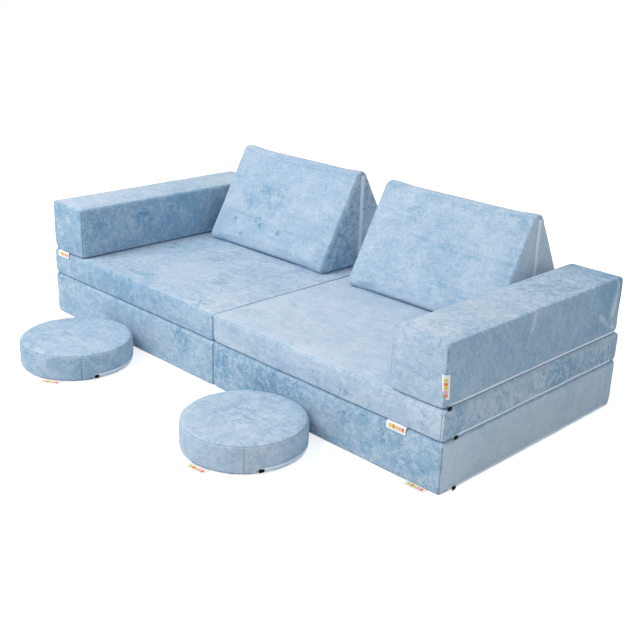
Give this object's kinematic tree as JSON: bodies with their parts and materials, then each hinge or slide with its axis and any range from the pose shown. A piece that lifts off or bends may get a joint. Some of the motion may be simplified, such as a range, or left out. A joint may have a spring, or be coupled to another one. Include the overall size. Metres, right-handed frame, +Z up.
{
  "type": "modular foam play sofa",
  "caption": "Low foam play sofa: two stacked folding mattresses, block arms, wedge backs and round floor cushions in zipped velour covers.",
  "frame": {"origin": "on the floor, under the middle of the whole set with its two round cushions", "axes": "+X along the sofa to the viewer's right, +Y to the back, +Z up"},
  "size_m": [1.5062, 1.0863, 0.4826],
  "materials": {
    "velour_cover": "matte",
    "foam_core": "matte",
    "zip_coil": "satin",
    "zip_slider": "satin",
    "label_cloth": "matte",
    "hinge_binding": "matte"
  },
  "bodies": {
    "base_left": {"base_left_cover": "velour_cover", "base_left_foam": "foam_core", "base_left_zip": "zip_coil", "base_hinge": "hinge_binding"},
    "base_left_slider": {"base_left_zip_slider": "zip_slider"},
    "base_right": {"base_right_cover": "velour_cover", "base_right_foam": "foam_core", "base_right_zip": "zip_coil", "base_right_label": "label_cloth"},
    "base_right_slider": {"base_right_zip_slider": "zip_slider"},
    "seat_left": {"seat_left_cover": "velour_cover", "seat_left_foam": "foam_core", "seat_left_zip": "zip_coil", "seat_hinge": "hinge_binding"},
    "seat_left_slider": {"seat_left_zip_slider": "zip_slider"},
    "seat_right": {"seat_right_cover": "velour_cover", "seat_right_foam": "foam_core", "seat_right_zip": "zip_coil", "seat_right_label": "label_cloth"},
    "seat_right_slider": {"seat_right_zip_slider": "zip_slider"},
    "arm_left": {"arm_left_cover": "velour_cover", "arm_left_foam": "foam_core", "arm_left_zip": "zip_coil", "arm_left_label": "label_cloth"},
    "arm_left_slider": {"arm_left_zip_slider": "zip_slider"},
    "arm_right": {"arm_right_cover": "velour_cover", "arm_right_foam": "foam_core", "arm_right_zip": "zip_coil", "arm_right_label": "label_cloth"},
    "arm_right_slider": {"arm_right_zip_slider": "zip_slider"},
    "back_left": {"back_left_cover": "velour_cover", "back_left_foam": "foam_core", "back_left_zip": "zip_coil"},
    "back_left_slider": {"back_left_zip_slider": "zip_slider"},
    "back_right": {"back_right_cover": "velour_cover", "back_right_foam": "foam_core", "back_right_zip": "zip_coil"},
    "back_right_slider": {"back_right_zip_slider": "zip_slider"},
    "round_left": {"round_left_cover": "velour_cover", "round_left_foam": "foam_core", "round_left_zip": "zip_coil", "round_left_label": "label_cloth"},
    "round_left_slider": {"round_left_zip_slider": "zip_slider"},
    "round_right": {"round_right_cover": "velour_cover", "round_right_foam": "foam_core", "round_right_zip": "zip_coil", "round_right_label": "label_cloth"},
    "round_right_slider": {"round_right_zip_slider": "zip_slider"}
  },
  "joints": [
    {"name": "base_fold", "type": "hinge", "parent": "base_left", "child": "base_right", "pos_m": [0, -0.215, -0.0002], "axis": [0, 1, 0], "range_deg": [0, 180]},
    {"name": "seat_lift", "type": "slide", "parent": "base_left", "child": "seat_left", "axis": [0, 0, 1], "range_m": [0, 0.15]},
    {"name": "seat_fold", "type": "hinge", "parent": "seat_left", "child": "seat_right", "pos_m": [0, -0.215, 0.2005], "axis": [0, -1, 0], "range_deg": [0, 12]},
    {"name": "arm_left_lift", "type": "slide", "parent": "seat_left", "child": "arm_left", "axis": [0, 0, 1], "range_m": [0, 0.15]},
    {"name": "back_left_lift", "type": "slide", "parent": "seat_left", "child": "back_left", "axis": [0, 0, 1], "range_m": [0, 0.15]},
    {"name": "arm_right_lift", "type": "slide", "parent": "seat_right", "child": "arm_right", "axis": [0, 0, 1], "range_m": [0, 0.15]},
    {"name": "back_right_lift", "type": "slide", "parent": "seat_right", "child": "back_right", "axis": [0, 0, 1], "range_m": [0, 0.15]},
    {"name": "round_left_lift", "type": "slide", "parent": "base_left", "child": "round_left", "axis": [0, 0, 1], "range_m": [0, 0.15]},
    {"name": "round_right_lift", "type": "slide", "parent": "base_left", "child": "round_right", "axis": [0, 0, 1], "range_m": [0, 0.15]},
    {"name": "base_left_zip_slide", "type": "slide", "parent": "base_left", "child": "base_left_slider", "axis": [0, 1, 0], "range_m": [0, 0.625]},
    {"name": "base_right_zip_slide", "type": "slide", "parent": "base_right", "child": "base_right_slider", "axis": [0, 1, 0], "range_m": [0, 0.625]},
    {"name": "seat_left_zip_slide", "type": "slide", "parent": "seat_left", "child": "seat_left_slider", "axis": [0, 1, 0], "range_m": [0, 0.625]},
    {"name": "seat_right_zip_slide", "type": "slide", "parent": "seat_right", "child": "seat_right_slider", "axis": [0, 1, 0], "range_m": [0, 0.625]},
    {"name": "arm_left_zip_slide", "type": "slide", "parent": "arm_left", "child": "arm_left_slider", "axis": [0, 1, 0], "range_m": [0, 0.657]},
    {"name": "arm_right_zip_slide", "type": "slide", "parent": "arm_right", "child": "arm_right_slider", "axis": [0, 1, 0], "range_m": [0, 0.657]},
    {"name": "back_left_zip_slide", "type": "slide", "parent": "back_left", "child": "back_left_slider", "axis": [0, 0, 1], "range_m": [0, 0.209]},
    {"name": "back_right_zip_slide", "type": "slide", "parent": "back_right", "child": "back_right_slider", "axis": [0, 0, 1], "range_m": [0, 0.209]},
    {"name": "round_left_zip_slide", "type": "hinge", "parent": "round_left", "child": "round_left_slider", "pos_m": [-0.376, -0.388, 0.012], "axis": [0, 0, 1], "range_deg": [0, 174]},
    {"name": "round_right_zip_slide", "type": "hinge", "parent": "round_right", "child": "round_right_slider", "pos_m": [0.3, -0.37, 0.012], "axis": [0, 0, 1], "range_deg": [0, 174]}
  ]
}
